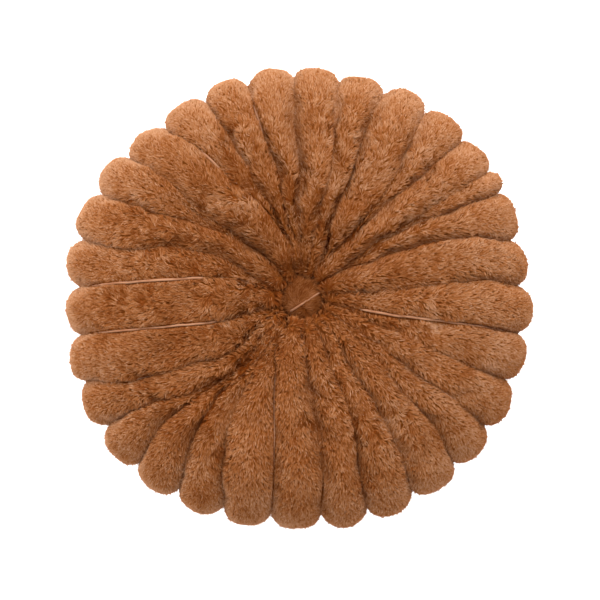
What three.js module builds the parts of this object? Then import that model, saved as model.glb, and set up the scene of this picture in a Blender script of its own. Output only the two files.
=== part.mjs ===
// A round pumpkin cushion in short plush, lying on its back.
// One filled body has thirty sewn channels, gathered to a hub on each face with a covered button in it.
// Millimetres, +Z up. The front face looks up, the cushion rests on z = 0, and its outline is centred on the
// origin.
import * as THREE from "three";
import { mergeVertices } from "three/addons/utils/BufferGeometryUtils.js";

// Driving sizes of the filled body
const NOMINAL_RIM = 212; // how far the seams reach at the rim, before each one's own reach
const COLUMN_PLACES = [0, 0.06, 0.2, 0.4, 0.6, 0.8, 0.94]; // across one channel, closer beside its seams
const COLUMNS = COLUMN_PLACES.length;
const BANDS_PER_ROW = 2; // steps along a channel from one row of SEAM_PROFILE to the next
const FACE_ROUNDNESS = 0.4; // of a channel's section on the faces: 1 is a plain sine, less is flatter on top
const TIP_ROUNDNESS = 0.55; // the same at the rim
const CROWDING = 0.55; // how much a narrow channel sinks beside a wide one
const NARROWEST = 0.1; // of the usual width, below which a channel sinks no further
const WIDEST = 2.2; // of the usual width, above which a channel rises no further
const MOST_LIFT = 0.75; // of the channel's height, that a seam is up at most
const STEEPEST = 0.45; // how high a channel stands at most on the faces, as a share of its width
const FADE_FROM = 90; // from here out, each seam takes on its own reach
const TIP_FROM = 180; // from here out, each channel takes on its own tip
const FULL_TURN = 360; // degrees
const EVEN_STEP = 12; // degrees from one seam to the next at the back hub
const BACK_TURN = 5; // degrees by which the back hub is turned from the front
const CREASE_END = 0.12; // a crease starts this far into its half wave, so its ends are not quite flat

// Driving sizes of the buttons
const BUTTON_RADIUS = 18.5;
const BUTTON_RISE = 9;
const BUTTON_SKIRT = 4; // how high the dome starts
const BUTTON_EDGE = 1.5; // the bevel round its base
const BUTTON_GAP = 0.3; // between a button and the cloth that it is pulled on to
const BUTTON_STEPS = 32; // round the button
const DOME_STEPS = 6; // from its edge to its crown
const MERGE_WITHIN = 1e-3; // points of a turned shape that are this close are one
const FRONT_BUTTON_SHIFT = { x: 2, y: 1.2 }; // it sits a little off the middle of its hub

// The seam's path in section, from the front hub over the rim to the back hub. r and z are the seam's own
// place, and puff is how far a channel of usual width stands proud of it. Each hub's floor is flat.
const SEAM_PROFILE = [
  { r: 22, z: 80, puff: 0 },
  { r: 25.5, z: 91, puff: 3 },
  { r: 50, z: 99, puff: 7.5 },
  { r: 86, z: 106, puff: 9.5 },
  { r: 130, z: 106, puff: 11 },
  { r: 170, z: 97, puff: 12 },
  { r: 200, z: 77, puff: 12.5 },
  { r: 212, z: 54, puff: 12.5 },
  { r: 202, z: 31, puff: 13 },
  { r: 172, z: 14, puff: 14 },
  { r: 128, z: 8, puff: 13 },
  { r: 80, z: 8, puff: 12 },
  { r: 42, z: 16, puff: 9 },
  { r: 23, z: 29, puff: 0 },
];
const RIM_ROW = 7; // the row of SEAM_PROFILE at the rim

// Distances from the hub at which the seam bearings below are given, on the front face
const BEARING_AT = { rim: 212, outer: 169, mid: 121, inner: 73, hub: 37 };
// How far each channel's own seam is up from its usual depth on the front, at outer, mid and inner
const SEAM_LIFTS = [
  [5, 6, 8], [4, 0, 0], [-3, -3, 0], [8, 0, 0], [0, -2, -4], [-2, 4, -3],
  [-4, -5, -3], [0, 5, 2], [-5, -2, 0], [4, 0, -2], [-1, 5, -4], [8, 5, -4],
  [6, 6, 2], [4, 2, 3], [7, 5, 2], [9, 9, 6], [9, 9, 6], [8, 5, 0],
  [3, 5, -3], [1, 0, 0], [-4, -4, -5], [0, 2, 2], [0, 5, 4], [-2, -1, 2],
  [-5, 3, 4], [3, 3, 3], [1, 6, 0], [7, 3, 6], [4, 7, 1], [6, 8, 8],
];
const LIFTS_AT = [205, 169, 121, 73, 45]; // where a seam's lifts are nothing, outer, mid, inner and nothing

// One row for each channel, anticlockwise from +X, seen from the front. rim to hub are the bearings in
// degrees of the seam where the channel starts. dip is that seam's reach at the rim and tip the channel's
// own, both from the hub. crest is where the channel is highest, as a share of its width.
const CHANNELS = [
  { rim: 3.5, outer: 6.0, mid: 6.5, inner: 7.0, hub: 8.0, dip: 211, tip: 221, crest: 0.5 },
  { rim: 15.5, outer: 19.9, mid: 23.7, inner: 27.5, hub: 30.0, dip: 211, tip: 225, crest: 0.4 },
  { rim: 28.3, outer: 30.2, mid: 33.0, inner: 34.0, hub: 34.0, dip: 216, tip: 225, crest: 0.5 },
  { rim: 34.0, outer: 34.6, mid: 35.8, inner: 37.0, hub: 38.0, dip: 218, tip: 225, crest: 0.4 },
  { rim: 44.5, outer: 45.7, mid: 48.0, inner: 51.0, hub: 54.0, dip: 217, tip: 228, crest: 0.42 },
  { rim: 56.3, outer: 54.5, mid: 52.0, inner: 54.0, hub: 58.0, dip: 216, tip: 226, crest: 0.47 },
  { rim: 68.0, outer: 68.8, mid: 68.1, inner: 67.4, hub: 71.5, dip: 214, tip: 223, crest: 0.46 },
  { rim: 80.0, outer: 79.2, mid: 77.6, inner: 78.0, hub: 79.0, dip: 214, tip: 224, crest: 0.45 },
  { rim: 91.8, outer: 91.7, mid: 90.8, inner: 92.0, hub: 90.0, dip: 215, tip: 224, crest: 0.55 },
  { rim: 104.0, outer: 102.4, mid: 100.9, inner: 99.0, hub: 92.5, dip: 213, tip: 224, crest: 0.53 },
  { rim: 115.8, outer: 113.9, mid: 111.2, inner: 105.5, hub: 96.5, dip: 213, tip: 222, crest: 0.49 },
  { rim: 128.5, outer: 124.4, mid: 119.2, inner: 109.3, hub: 100.5, dip: 212, tip: 223, crest: 0.51 },
  { rim: 140.8, outer: 138.6, mid: 138.6, inner: 133.0, hub: 123.0, dip: 216, tip: 230, crest: 0.56 },
  { rim: 152.4, outer: 149.6, mid: 144.9, inner: 136.1, hub: 127.0, dip: 219, tip: 232, crest: 0.58 },
  { rim: 164.8, outer: 164.0, mid: 157.7, inner: 153.3, hub: 155.0, dip: 219, tip: 231, crest: 0.48 },
  { rim: 177.0, outer: 175.2, mid: 171.6, inner: 165.8, hub: 163.0, dip: 216, tip: 229, crest: 0.52 },
  { rim: 189.5, outer: 190.2, mid: 192.4, inner: 195.3, hub: 195.0, dip: 217, tip: 234, crest: 0.55 },
  { rim: 201.3, outer: 206.1, mid: 210.7, inner: 217.0, hub: 211.0, dip: 223, tip: 237, crest: 0.6 },
  { rim: 213.6, outer: 214.8, mid: 221.5, inner: 226.5, hub: 223.0, dip: 225, tip: 239, crest: 0.56 },
  { rim: 225.5, outer: 222.4, mid: 224.6, inner: 229.3, hub: 227.5, dip: 226, tip: 237, crest: 0.58 },
  { rim: 237.3, outer: 232.7, mid: 230.5, inner: 232.3, hub: 232.0, dip: 221, tip: 232, crest: 0.54 },
  { rim: 249.6, outer: 244.0, mid: 238.5, inner: 237.0, hub: 236.5, dip: 217, tip: 228, crest: 0.5 },
  { rim: 262.0, outer: 261.1, mid: 258.0, inner: 251.0, hub: 241.0, dip: 213, tip: 225, crest: 0.46 },
  { rim: 275.2, outer: 276.9, mid: 277.0, inner: 274.5, hub: 273.0, dip: 212, tip: 227, crest: 0.46 },
  { rim: 287.7, outer: 289.0, mid: 292.8, inner: 294.0, hub: 295.0, dip: 214, tip: 230, crest: 0.48 },
  { rim: 300.2, outer: 302.5, mid: 304.6, inner: 307.5, hub: 312.5, dip: 216, tip: 231, crest: 0.45 },
  { rim: 313.0, outer: 316.7, mid: 317.9, inner: 322.5, hub: 325.0, dip: 218, tip: 229, crest: 0.54 },
  { rim: 325.5, outer: 326.5, mid: 327.6, inner: 330.5, hub: 333.0, dip: 216, tip: 229, crest: 0.51 },
  { rim: 338.3, outer: 338.1, mid: 338.8, inner: 341.4, hub: 346.0, dip: 214, tip: 226, crest: 0.5 },
  { rim: 350.8, outer: 351.1, mid: 350.6, inner: 349.5, hub: 350.5, dip: 212, tip: 225, crest: 0.46 },
];

// The main creases within a channel, beside the seams. Each runs straight between two places on the front.
const CREASES = [
  { from: { bearing: 247, reach: 208 }, to: { bearing: 240.5, reach: 145 }, depth: 5, width: 5 },
  { from: { bearing: 202, reach: 158 }, to: { bearing: 203, reach: 112 }, depth: 4, width: 7 },
  { from: { bearing: 291, reach: 158 }, to: { bearing: 294.5, reach: 112 }, depth: 4, width: 5 },
  { from: { bearing: 333, reach: 160 }, to: { bearing: 337, reach: 100 }, depth: 3.5, width: 6 },
  { from: { bearing: 144, reach: 172 }, to: { bearing: 141, reach: 105 }, depth: 6, width: 8 },
  { from: { bearing: 118, reach: 148 }, to: { bearing: 112, reach: 98 }, depth: 5, width: 6 },
  { from: { bearing: 32, reach: 36 }, to: { bearing: 33, reach: 64 }, depth: 4, width: 4 },
  { from: { bearing: 71, reach: 30 }, to: { bearing: 74, reach: 70 }, depth: 7, width: 4.5 },
  { from: { bearing: 134, reach: 58 }, to: { bearing: 138, reach: 94 }, depth: 5, width: 5 },
  { from: { bearing: 229, reach: 58 }, to: { bearing: 228, reach: 104 }, depth: 5, width: 5 },
  { from: { bearing: 241, reach: 34 }, to: { bearing: 241, reach: 58 }, depth: 5, width: 4 },
  { from: { bearing: 295, reach: 30 }, to: { bearing: 299, reach: 54 }, depth: 4, width: 4 },
  { from: { bearing: 120, reach: 29 }, to: { bearing: 80, reach: 29 }, depth: 7, width: 6 },
  { from: { bearing: 194, reach: 22 }, to: { bearing: 200, reach: 34 }, depth: 8, width: 4 },
];

const radians = THREE.MathUtils.degToRad;
const { lerp, smoothstep, clamp } = THREE.MathUtils;

// The seam profile as a smooth curve, with puff in its third coordinate
const seamCurve = new THREE.CatmullRomCurve3(
  SEAM_PROFILE.map(({ r, z, puff }) => new THREE.Vector3(r, z, puff)),
  false,
  "centripetal",
);
const LAST_ROW = SEAM_PROFILE.length - 1;
const RIM_SHARE = RIM_ROW / LAST_ROW;

// Bearing of one seam on the front face, in degrees, at a distance from the hub
const MARKS = ["hub", "inner", "mid", "outer", "rim"]; // from the hub out

function frontBearing(channel, reach) {
  if (reach <= BEARING_AT.hub) return channel.hub;
  if (reach >= BEARING_AT.rim) return channel.rim;
  const k = MARKS.findIndex((mark) => BEARING_AT[mark] >= reach);
  const [near, far] = [MARKS[k - 1], MARKS[k]];
  const before = channel[MARKS[Math.max(k - 2, 0)]];
  const after = channel[MARKS[Math.min(k + 1, MARKS.length - 1)]];
  const share = (reach - BEARING_AT[near]) / (BEARING_AT[far] - BEARING_AT[near]);
  return smoothThrough(before, channel[near], channel[far], after, share);
}

// A smooth value from a to b that leaves each end with the slope of its neighbours
function smoothThrough(before, a, b, after, share) {
  const [slopeA, slopeB] = [(b - before) / 2, (after - a) / 2];
  const bend = 2 * (a - b) + slopeA + slopeB;
  return a + share * (slopeA + share * (3 * (b - a) - 2 * slopeA - slopeB + share * bend));
}

// Bearing of seam i at a share of the way along the seam profile. The seam after the last is the first, one
// turn on.
function seamBearing(i, share, reach) {
  const turned = FULL_TURN * Math.floor(i / CHANNELS.length);
  const channel = CHANNELS[i % CHANNELS.length];
  if (share <= RIM_SHARE) return frontBearing(channel, reach) + turned;
  return lerp(channel.rim + turned, EVEN_STEP * i + BACK_TURN, smoothstep(share, RIM_SHARE, 1));
}

// How far seam i is up from its usual depth at a reach, on the front
function seamLift(i, reach) {
  if (reach >= LIFTS_AT[0] || reach <= LIFTS_AT.at(-1)) return 0;
  const lifts = [0, ...SEAM_LIFTS[i % SEAM_LIFTS.length], 0];
  const k = LIFTS_AT.findIndex((mark) => mark < reach);
  return lerp(lifts[k], lifts[k - 1], smoothstep(reach, LIFTS_AT[k], LIFTS_AT[k - 1]));
}

// The filling is uneven: each channel swells and slackens a little along its length, in two waves.
const SWELLS = [
  { size: 0.07, perChannel: 2.4, along: 19 },
  { size: 0.05, perChannel: 5.1, along: 37 },
];

function unevenness(i, share) {
  const swell = ({ size, perChannel, along }) => size * Math.sin(perChannel * i + along * share);
  return SWELLS.reduce((sum, wave) => sum + swell(wave), 1);
}

// A place on the front face, from its bearing and its distance from the hub
function place({ bearing: degrees, reach }) {
  return new THREE.Vector2(reach * Math.cos(radians(degrees)), reach * Math.sin(radians(degrees)));
}

// How far the creases press a place of the front face down
function creaseDepth(x, y) {
  const here = new THREE.Vector2(x, y);
  let depth = 0;
  for (const { from, to, depth: deepest, width } of CREASES) {
    const start = place(from);
    const along = place(to).sub(start);
    const share = clamp(here.clone().sub(start).dot(along) / along.lengthSq(), 0, 1);
    const away = start.addScaledVector(along, share).distanceTo(here);
    const swell = Math.sin(Math.PI * lerp(CREASE_END, 1 - CREASE_END, share));
    depth += deepest * swell * Math.exp(-((away / width) ** 2));
  }
  return depth;
}

// A point of the cushion's surface: across goes from 0 to 1 over channel i, and share from the front hub to
// the back one
function surfacePoint(i, across, share) {
  const { x: r, y: z, z: puff } = seamCurve.getPoint(share);
  const tangent = seamCurve.getTangent(share);
  const outward = new THREE.Vector2(-tangent.y, tangent.x).normalize();
  const channel = CHANNELS[i];
  const next = CHANNELS[(i + 1) % CHANNELS.length];

  // Each seam has its own reach at the rim, which fades out towards the hubs.
  const rimward = smoothstep(r, FADE_FROM, NOMINAL_RIM);
  const dip = lerp(channel.dip, next.dip, across);
  const seamReach = r * lerp(1, dip / NOMINAL_RIM, rimward);

  // A wide channel stands higher than a narrow one, a very narrow one is low, and at the rim each reaches its
  // own tip.
  const [start, end] = [seamBearing(i, share, r), seamBearing(i + 1, share, r)];
  const width = (end - start) / EVEN_STEP;
  const fullness = clamp(width, NARROWEST, WIDEST) ** CROWDING;
  const highest = STEEPEST * radians(end - start) * seamReach;
  const usual = Math.min(puff * fullness * unevenness(i, share), highest);
  const atRim = channel.tip - (channel.dip + next.dip) / 2;
  const tipward = smoothstep(r, TIP_FROM, NOMINAL_RIM);
  const height = lerp(usual, atRim, tipward);

  // The section rises from one seam to its crest and falls to the other.
  const crest = lerp(0.5, channel.crest, rimward);
  const climbed = across < crest ? across / crest : (1 - across) / (1 - crest);
  const roundness = lerp(FACE_ROUNDNESS, TIP_ROUNDNESS, tipward);
  const beside = across < crest ? i : i + 1;
  const lift = share < RIM_SHARE ? Math.min(seamLift(beside, r), height * MOST_LIFT) : 0;
  const rise = lift + (height - lift) * Math.sin((Math.PI / 2) * climbed) ** roundness;

  const angle = radians(lerp(start, end, across));
  const reach = seamReach + outward.x * rise;
  const [x, y] = [reach * Math.cos(angle), reach * Math.sin(angle)];
  const crease = share < RIM_SHARE ? creaseDepth(x, y) : 0;
  return new THREE.Vector3(x, y, Math.max(0, z + outward.y * rise - crease));
}

// The whole body: a ring of points for each step along the profile, closed by a fan at each hub
function cushionGeometry() {
  const bands = BANDS_PER_ROW * LAST_ROW;
  const around = CHANNELS.length * COLUMNS;
  const positions = [];
  const index = [];
  for (let band = 0; band <= bands; band++) {
    for (let column = 0; column < around; column++) {
      const i = Math.floor(column / COLUMNS);
      positions.push(...surfacePoint(i, COLUMN_PLACES[column % COLUMNS], band / bands));
    }
  }
  const front = positions.length / 3;
  positions.push(0, 0, SEAM_PROFILE[0].z);
  const back = positions.length / 3;
  positions.push(0, 0, SEAM_PROFILE[LAST_ROW].z);
  for (let column = 0; column < around; column++) {
    const beside = (column + 1) % around;
    index.push(front, column, beside);
    for (let band = 0; band < bands; band++) {
      const [a, b] = [band * around + column, band * around + beside];
      const [c, d] = [a + around, b + around];
      index.push(a, c, d, a, d, b);
    }
    index.push(back, bands * around + beside, bands * around + column);
  }
  const geometry = new THREE.BufferGeometry();
  geometry.setAttribute("position", new THREE.Float32BufferAttribute(positions, 3));
  geometry.setIndex(index);
  geometry.computeVertexNormals();
  return geometry;
}

// A domed disc with a short skirt, turned from half a section. It stands on z = 0.
function buttonGeometry() {
  const profile = [
    new THREE.Vector2(0, 0),
    new THREE.Vector2(BUTTON_RADIUS - BUTTON_EDGE, 0),
    new THREE.Vector2(BUTTON_RADIUS, BUTTON_EDGE),
  ];
  const dome = BUTTON_RISE - BUTTON_SKIRT;
  for (let k = 0; k <= DOME_STEPS; k++) {
    const turn = (Math.PI / 2) * (k / DOME_STEPS);
    const radius = k === DOME_STEPS ? 0 : BUTTON_RADIUS * Math.cos(turn);
    profile.push(new THREE.Vector2(radius, BUTTON_SKIRT + dome * Math.sin(turn)));
  }
  const geometry = new THREE.LatheGeometry(profile, BUTTON_STEPS);
  geometry.deleteAttribute("uv");
  geometry.deleteAttribute("normal");
  const closed = mergeVertices(geometry, MERGE_WITHIN).rotateX(Math.PI / 2);
  closed.computeVertexNormals();
  return closed;
}

const plush = new THREE.MeshStandardMaterial({ color: 0xa5683f, roughness: 0.95, metalness: 0 });
const buttonPlush = new THREE.MeshStandardMaterial({ color: 0x8a5230, roughness: 0.95, metalness: 0 });

const cushion = new THREE.Mesh(cushionGeometry(), plush);
cushion.name = "cushion";

const frontButton = new THREE.Mesh(buttonGeometry(), buttonPlush);
frontButton.name = "front_button";
frontButton.position.set(FRONT_BUTTON_SHIFT.x, FRONT_BUTTON_SHIFT.y, SEAM_PROFILE[0].z + BUTTON_GAP);

const backButton = new THREE.Mesh(buttonGeometry(), buttonPlush);
backButton.name = "back_button";
backButton.position.z = SEAM_PROFILE[LAST_ROW].z - BUTTON_GAP;
backButton.rotation.x = Math.PI;

// The parts stand round the hub, and the group moves them so that the outline is centred on the origin.
const middle = new THREE.Box3().setFromObject(cushion).getCenter(new THREE.Vector3());
const hub = new THREE.Group();
hub.position.set(-middle.x, -middle.y, 0);
hub.add(cushion, frontButton, backButton);

const pumpkinCushion = new THREE.Group();
pumpkinCushion.add(hub);

export default pumpkinCushion;
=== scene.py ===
"""A round pumpkin cushion in short brown plush, lying on its back, seen from straight above."""

import math
from collections import namedtuple

import bmesh
import bpy
import numpy as np
from mathutils import Matrix, Vector, noise


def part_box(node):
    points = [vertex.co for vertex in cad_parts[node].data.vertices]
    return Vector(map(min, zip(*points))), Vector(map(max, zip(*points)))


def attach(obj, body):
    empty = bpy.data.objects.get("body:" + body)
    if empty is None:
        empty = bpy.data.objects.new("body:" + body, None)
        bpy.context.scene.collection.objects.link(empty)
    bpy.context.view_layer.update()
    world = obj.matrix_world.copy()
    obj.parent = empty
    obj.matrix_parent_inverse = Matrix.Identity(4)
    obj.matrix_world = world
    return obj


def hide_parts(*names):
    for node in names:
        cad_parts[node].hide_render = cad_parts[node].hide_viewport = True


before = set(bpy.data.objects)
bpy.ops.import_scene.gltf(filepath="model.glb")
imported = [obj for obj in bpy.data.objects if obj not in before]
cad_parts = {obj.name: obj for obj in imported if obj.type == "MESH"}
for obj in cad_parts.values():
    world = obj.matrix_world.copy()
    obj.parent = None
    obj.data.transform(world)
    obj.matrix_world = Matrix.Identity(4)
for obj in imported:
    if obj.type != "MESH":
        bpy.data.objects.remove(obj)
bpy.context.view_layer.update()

# The cover
# A tube of brown plush is sewn in thirty channels, filled with polyester fibre, and gathered into a hub at
# each end. This piece is the cloth itself, under its pile: it is turned as a ring, drawn in at each seam, and
# then blown up by a cloth simulation that holds the seams and the hubs still.

MM = 0.001  # in metres
TINY = 1e-9  # keeps a division off nothing

Station = namedtuple("Station", "r z puff")
SEAM_PROFILE = [  # the seam's path from hub to hub, and how proud of it a channel stands, in mm
    Station(21.5, 80, 0),
    Station(24.5, 91, 4),
    Station(50, 99, 7.5),
    Station(86, 106, 9.5),
    Station(130, 106, 11),
    Station(170, 97, 12),
    Station(200, 77, 12.5),
    Station(212, 54, 12.5),
    Station(202, 31, 13),
    Station(172, 14, 14),
    Station(128, 8, 13),
    Station(80, 8, 12),
    Station(42, 16, 9),
    Station(23, 29, 0),
]
RIM_ROW = 7
RIM_SHARE = RIM_ROW / (len(SEAM_PROFILE) - 1)

Channel = namedtuple("Channel", "rim outer mid inner hub dip tip crest up")
# A channel has five bearings in degrees of the seam that it starts from. Dip and tip are the mm from the
# hub's middle that the seam and the channel reach at the rim, and crest is where its top lies across it.
# Up holds the mm that the seam is raised at its outer, mid and inner marks.
CHANNELS = [
    Channel(3.5, 6.0, 5.4, 5.6, 8.0, 212, 223, 0.50, (5, 6, 11)),
    Channel(15.5, 19.7, 23.5, 27.1, 33.5, 212, 226, 0.40, (4, -3, -2)),
    Channel(28.3, 29.7, 32.3, 34.0, 35.5, 218, 227, 0.50, (-5, -1, 0)),
    Channel(34.0, 34.6, 35.6, 37.0, 38.0, 220, 227, 0.40, (10, 4, 0)),
    Channel(44.5, 45.2, 47.3, 50.3, 54.0, 219, 229, 0.42, (-1, -2, -5)),
    Channel(56.3, 54.5, 52.2, 53.5, 58.0, 217, 228, 0.47, (-3, 6, -5)),
    Channel(68.0, 69.1, 68.5, 67.8, 63.5, 215, 224, 0.46, (-10, -9, -3)),
    Channel(80.0, 79.4, 77.6, 78.0, 79.0, 215, 225, 0.45, (0, 5, 3)),
    Channel(91.8, 91.9, 91.2, 92.0, 90.0, 216, 225, 0.55, (-9, -9, 0)),
    Channel(104.0, 103.2, 100.9, 99.0, 94.0, 213, 225, 0.53, (5, -2, -4)),
    Channel(115.8, 113.9, 111.4, 106.4, 99.0, 213, 223, 0.49, (-3, 6, -9)),
    Channel(128.5, 124.4, 119.2, 109.7, 103.0, 212, 223, 0.51, (9, 7, -6)),
    Channel(140.8, 138.6, 138.6, 133.9, 126.0, 216, 230, 0.56, (8, 11, 4)),
    Channel(152.4, 150.3, 145.6, 137.0, 129.5, 219, 232, 0.58, (3, 2, 6)),
    Channel(164.8, 164.0, 157.7, 153.3, 155.0, 219, 231, 0.48, (9, 4, 3)),
    Channel(177.0, 175.2, 171.6, 165.8, 163.0, 216, 229, 0.52, (10, 10, 7)),
    Channel(189.5, 190.2, 192.4, 195.8, 195.0, 217, 234, 0.55, (10, 10, 9)),
    Channel(201.3, 206.1, 210.7, 217.9, 211.0, 223, 237, 0.60, (12, 6, -2)),
    Channel(213.6, 215.0, 221.9, 227.2, 223.0, 225, 239, 0.56, (3, 6, -5)),
    Channel(225.5, 222.9, 224.8, 229.3, 227.5, 226, 237, 0.58, (1, -1, -6)),
    Channel(237.3, 233.2, 230.9, 232.3, 232.0, 221, 232, 0.54, (-5, -7, -5)),
    Channel(249.6, 244.5, 239.7, 237.5, 236.5, 217, 228, 0.50, (-1, 2, 4)),
    Channel(262.0, 261.1, 258.0, 251.0, 241.0, 213, 225, 0.46, (1, 8, 4)),
    Channel(275.2, 276.9, 276.5, 274.9, 273.0, 212, 227, 0.46, (-2, -2, 1)),
    Channel(287.7, 288.7, 292.0, 293.3, 296.0, 214, 230, 0.48, (-11, 4, 6)),
    Channel(300.2, 302.5, 304.6, 306.4, 312.5, 216, 231, 0.45, (2, 2, 3)),
    Channel(313.0, 316.0, 317.7, 322.5, 325.0, 218, 230, 0.54, (0, 8, 4)),
    Channel(325.5, 326.5, 327.6, 330.0, 333.0, 217, 230, 0.51, (10, 1, 9)),
    Channel(338.3, 337.9, 338.8, 341.4, 346.0, 215, 227, 0.50, (5, 9, 6)),
    Channel(350.8, 351.1, 350.6, 349.5, 350.5, 213, 226, 0.46, (7, 7, 12)),
]
MARK_REACH = np.array([37, 73, 121, 169, 212.0])  # mm from the hub, of the bearings
LIFT_REACH = np.array([45, 73, 121, 169, 205.0])  # the same for the lifts, which are nothing at both ends

Crease = namedtuple("Crease", "bearing reach to_bearing to_reach depth width")
CREASES = [  # within a channel, each straight between two places on the front, in degrees and mm
    Crease(247, 208, 240.5, 145, 5, 5),
    Crease(202, 158, 203, 112, 4, 7),
    Crease(291, 158, 294.5, 112, 4, 5),
    Crease(333, 160, 337, 100, 3.5, 6),
    Crease(144, 172, 141, 105, 6, 8),
    Crease(118, 148, 112, 98, 5, 6),
    Crease(32, 36, 33, 64, 4, 4),
    Crease(61, 29, 68, 62, 9, 4),
    Crease(134, 58, 138, 94, 5, 5),
    Crease(229, 58, 228, 104, 5, 5),
    Crease(241, 34, 241, 58, 5, 4),
    Crease(295, 30, 299, 54, 4, 4),
    Crease(120, 29, 80, 29, 7, 6),
    Crease(194, 22, 200, 34, 6, 4),
]
CREASE_END = 0.12  # of the half wave of its depth, left out at each end

Parting = namedtuple("Parting", "near far show")
PARTINGS = {  # seams where the pile parts: between which reaches in mm, and how much of the thread shows
    0: Parting(160, 180, 0.4),
    1: Parting(98, 128, 0.5),
    5: Parting(176, 204, 0.5),
    9: Parting(148, 203, 1.0),
    11: Parting(136, 178, 1.0),
    15: Parting(82, 213, 1.0),
    16: Parting(70, 213, 0.85),
    17: Parting(138, 203, 0.5),
    22: Parting(60, 213, 0.6),
    23: Parting(157, 203, 0.7),
    25: Parting(112, 138, 0.6),
    27: Parting(147, 178, 0.6),
    29: Parting(48, 213, 0.95),
}
PARTING_END = 18  # mm over which a parting closes at each end

NOMINAL_RIM = 212  # mm from the hub to the seams at the rim
FACE_ROUNDNESS = 0.26  # of a channel's section on the faces: less is flatter on top
TIP_ROUNDNESS = 0.5  # the same at the rim
CROWDING = 0.55  # the power of a channel's width that its height follows
STEEPEST = 0.45  # how high a channel stands at most, as a share of its width
NARROWEST, WIDEST = 0.1, 2.2  # of the usual width, past which the height stays the same
FADE_FROM = 90  # mm from the hub: from here out each seam takes on its own reach
TIP_FROM = 180  # mm from the hub: from here out each channel takes on its own tip
EVEN_STEP = 12  # degrees from one seam to the next at the back hub
BACK_TURN = 5  # degrees by which the back hub is turned from the front
SWELLS = [(0.07, 2.4, 19), (0.05, 5.1, 37)]  # size, turn for each channel, and turn along it
RUFFLES = [(0.9, 2.1, 6.3), (0.7, 4.7, 14)]  # mm, turn for each channel, and turn across it, at its tip
SKIN_DEPTH = 3.2  # mm from the tips of the pile down to the cloth
GROOVE = 3.5  # mm that the seams are drawn in further than that
GROOVE_SHARPNESS = 8  # the power by which that fades towards the crest
MOST_LIFT = 0.75  # of the channel's height, that a seam is up at most
FULL_GROOVE = 20  # mm: between channels narrower than this they are drawn in less
UNDER_PILE = 2.2  # mm of flattened pile under the cloth
RESTING = 0.1  # mm above that, within which the cloth is held still too
PATH_STEP = 1e-4  # of the seam's path, over which its direction is taken
COLUMN_PLACES = [0, 0.055, 0.16, 0.32, 0.5, 0.68, 0.84, 0.945]  # across one channel, closer beside its seams
BANDS = 60  # steps along a channel

PRESSURE = 4.0
SIM_FRAMES = 20
SLACK = -0.03  # the cloth is cut this much larger than its shape, so it puckers
MOST_MOVE = 6.0  # mm that the simulation may move a point
HUB_HELD = 44  # mm from the hub: nearer than this the cloth is held still
FULLNESS = 0.95  # how far the channels are blown up before the simulation

hub_low, hub_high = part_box("back_button")
HUB = (hub_low + hub_high) / 2 / MM  # the middle of both hubs, on the floor
HUB.z = 0


def smoothstep(value, low, high):
    share = np.clip((value - low) / (high - low), 0, 1)
    return share * share * (3 - 2 * share)


def hermite(a, b, slope_a, slope_b, t):
    bend = 2 * (a - b) + slope_a + slope_b
    return a + t * (slope_a + t * (3 * (b - a) - 2 * slope_a - slope_b + t * bend))


def seam_path(share):
    """The seam's r, z and puff at each share of its length, on a centripetal curve through the stations."""
    rows = np.array(SEAM_PROFILE, dtype=float)
    rows = np.vstack([2 * rows[0] - rows[1], rows, 2 * rows[-1] - rows[-2]])
    place = np.clip(share, 0, 1) * (len(SEAM_PROFILE) - 1)
    k = np.clip(place.astype(int), 0, len(SEAM_PROFILE) - 2)
    p0, p1, p2, p3 = (rows[k + step] for step in range(4))
    legs = ((p0, p1), (p1, p2), (p2, p3))
    gap0, gap1, gap2 = (np.sqrt(np.linalg.norm(b - a, axis=-1))[..., None] for a, b in legs)
    slope1 = gap1 * ((p1 - p0) / gap0 - (p2 - p0) / (gap0 + gap1) + (p2 - p1) / gap1)
    slope2 = gap1 * ((p2 - p1) / gap1 - (p3 - p1) / (gap1 + gap2) + (p3 - p2) / gap2)
    return hermite(p1, p2, slope1, slope2, (place - k)[..., None])


def seam_bearing(i, share, reach):
    """The bearing in degrees of seam i. The seam after the last is the first, one turn on."""
    table = np.array([[c.hub, c.inner, c.mid, c.outer, c.rim] for c in CHANNELS])
    turned = 360.0 * (i // len(CHANNELS))
    marks = table[i % len(CHANNELS)]
    last = len(MARK_REACH) - 1
    k = np.clip(np.searchsorted(MARK_REACH, reach), 1, last)
    a, b, before, after = (
        np.take_along_axis(marks, column[..., None], -1)[..., 0]
        for column in (k - 1, k, np.maximum(k - 2, 0), np.minimum(k + 1, last))
    )
    t = np.clip((reach - MARK_REACH[k - 1]) / (MARK_REACH[k] - MARK_REACH[k - 1]), 0, 1)
    front = hermite(a, b, (b - before) / 2, (after - a) / 2, t) + turned
    backward = smoothstep(share, RIM_SHARE, 1)
    even = EVEN_STEP * i + BACK_TURN
    behind = (marks[..., -1] + turned) * (1 - backward) + even * backward
    return np.where(share <= RIM_SHARE, front, behind)


def parting(i, reach):
    """How much of its thread seam i shows at a reach in mm, faded at the ends of its parting."""
    shut = Parting(0, 0, 0)
    rows = np.array([PARTINGS.get(seam, shut) for seam in range(len(CHANNELS))])
    near, far, show = np.moveaxis(rows[i % len(CHANNELS)], -1, 0)
    end = np.clip((far - near) / 2, 1, PARTING_END)
    opened = smoothstep(reach, near, near + end) * (1 - smoothstep(reach, far - end, far))
    return np.where(far > near, show * opened, 0)


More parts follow.
